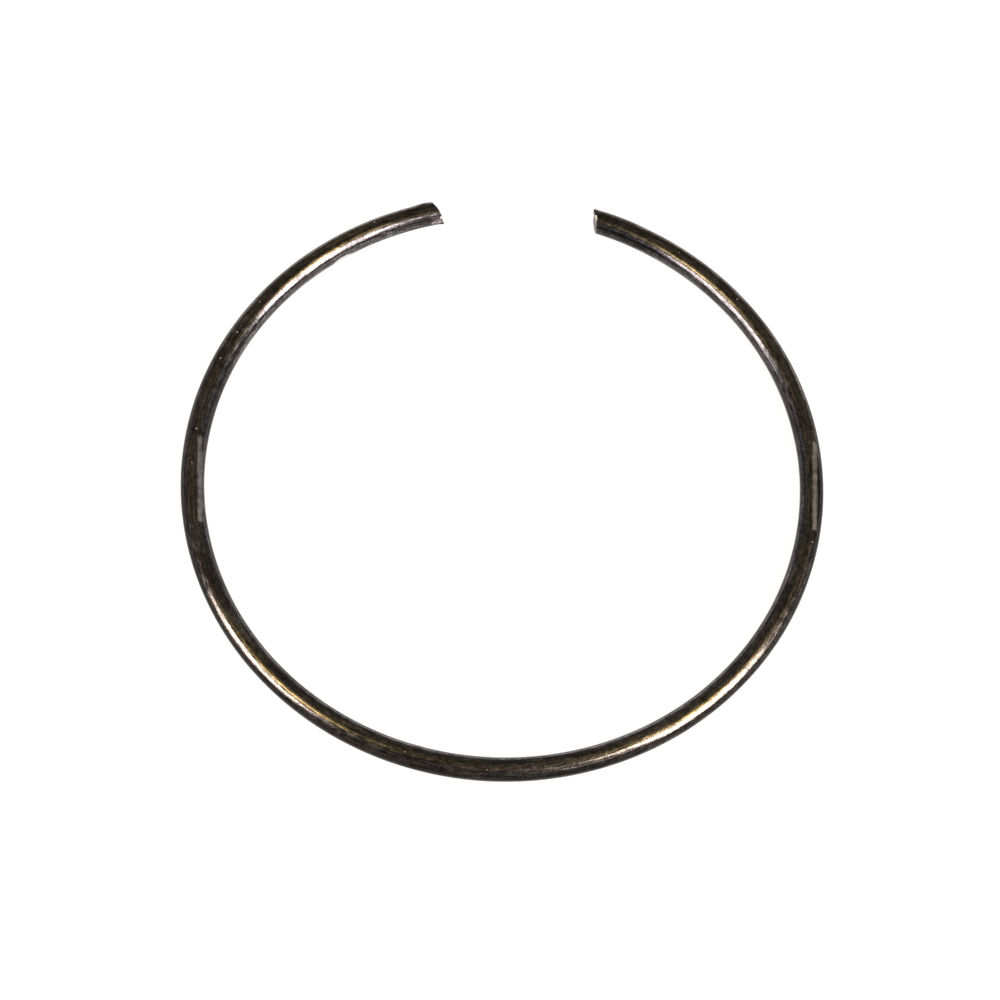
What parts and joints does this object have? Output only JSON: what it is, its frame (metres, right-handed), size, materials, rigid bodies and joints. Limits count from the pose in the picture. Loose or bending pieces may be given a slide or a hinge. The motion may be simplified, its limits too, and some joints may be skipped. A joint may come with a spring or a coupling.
{
  "type": "retaining ring",
  "caption": "Open ring of round spring wire with sheared ends, which springs into a groove in a bore to hold a part in place.",
  "frame": {"origin": "centre of the ring's circle, at half the height of the wire", "axes": "+Z along the ring's axis, +Y towards the gap between the two ends, +X across the ring's full diameter"},
  "size_m": [0.0536, 0.0527, 0.002],
  "materials": {
    "spring_steel": "oil-tempered spring wire, dark brown-black oxide with a satin sheen and fine draw lines; bare bright steel where the ends broke"
  },
  "bodies": {
    "root": {"retaining_ring": "spring_steel"}
  },
  "joints": []
}
